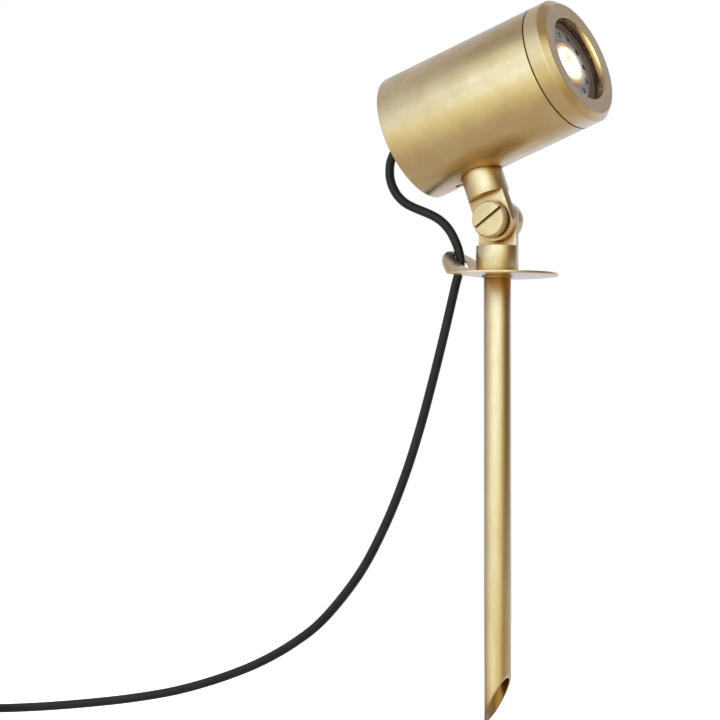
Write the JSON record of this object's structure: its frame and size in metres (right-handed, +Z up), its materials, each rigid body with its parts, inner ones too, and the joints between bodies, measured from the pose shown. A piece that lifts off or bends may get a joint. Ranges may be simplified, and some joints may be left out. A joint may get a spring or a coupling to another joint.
{
  "type": "landscape spotlight",
  "caption": "Brass garden spotlight: a cylindrical head with a screwed bezel, on a tilting knuckle with a slotted thumb screw, over a round flange and a hollow ground spike, with its lead.",
  "frame": {"origin": "centre of the underside of the flange, on the axis of the spike", "axes": "+Z up along the spike's axis; +X the side the lamp looks towards; Y along the knuckle's pivot, with the clamp screw's head on the -Y side"},
  "size_m": [0.4126, 0.1032, 0.3581],
  "materials": {
    "brass": "satin, brushed and lightly aged",
    "steel": "zinc plated, satin",
    "dark_steel": "blackened",
    "black_rubber": "matt black lead jacket and seals",
    "brown_rubber": "satin brown seal ring",
    "silicone": "satin translucent silicone",
    "ceramic": "matt unglazed ceramic",
    "lamp_grey": "satin grey coated casting",
    "lamp_face": "satin grey moulding",
    "clear_lens": "clear acrylic",
    "dark_board": "board with a dark coating",
    "yellow_chip": "yellow phosphor",
    "clear_glass": "clear toughened glass",
    "brown_core": "satin brown core insulation",
    "black_strap": "matt black moulded strap",
    "tinned": "tinned"
  },
  "bodies": {
    "spike": {"lower_knuckle": "brass", "clamp_nut": "brass", "flange": "brass", "spike_washer": "brass", "knuckle_stud": "steel", "spike_plug": "brass", "spike_tube": "brass", "lead_upper": "black_rubber", "lead_lower": "black_rubber", "lead_coil": "black_rubber", "coil_tie": "black_strap", "lead_cores": "brown_core", "core_ferrules": "tinned"},
    "head": {"body_tube": "brass", "gland_body": "brass", "gland_nut": "brass", "gland_seal": "black_rubber", "lead_tail": "black_rubber", "lamp_leads": "brown_core", "holder_bracket": "steel", "bracket_screws": "steel", "lampholder": "ceramic", "holder_screws": "steel", "lamp_shell": "lamp_grey", "lamp_face": "lamp_face", "lamp_lens": "clear_lens", "led_board": "dark_board", "led_chip": "yellow_chip", "lamp_pins": "tinned", "grub_screw": "dark_steel", "stem_screw": "steel", "upper_knuckle": "brass"},
    "seal": {"bezel_seal": "brown_rubber"},
    "front_ring": {"bezel": "brass", "lens_glass": "clear_glass", "lens_gasket": "silicone"},
    "washer": {"clamp_washer": "brass"},
    "screw": {"clamp_screw": "brass"}
  },
  "joints": [
    {"name": "head_tilt", "type": "hinge", "parent": "spike", "child": "head", "pos_m": [0, 0, 0.028], "axis": [0, -1, 0], "range_deg": [-30, 40], "deforming": ["lead_upper"]},
    {"name": "ring_turn", "type": "hinge", "parent": "head", "child": "seal", "pos_m": [-0.0474, 0, 0.0713], "axis": [0.9354, 0, 0.3535], "range_deg": [0, 1440]},
    {"name": "ring_slide", "type": "slide", "parent": "seal", "child": "front_ring", "axis": [0.9354, 0, 0.3535], "range_m": [0, 0.006]},
    {"name": "clamp_turn", "type": "hinge", "parent": "spike", "child": "washer", "pos_m": [0, 0, 0.028], "axis": [0, -1, 0], "range_deg": [0, 720]},
    {"name": "clamp_slide", "type": "slide", "parent": "washer", "child": "screw", "axis": [0, -1, 0], "range_m": [0, 0.002]}
  ],
  "couplings": [
    {"joint": "ring_slide", "follows": "ring_turn", "m_per_rad": 0.00023873},
    {"joint": "clamp_turn", "follows": "clamp_slide", "rad_per_m": 6283.2}
  ]
}
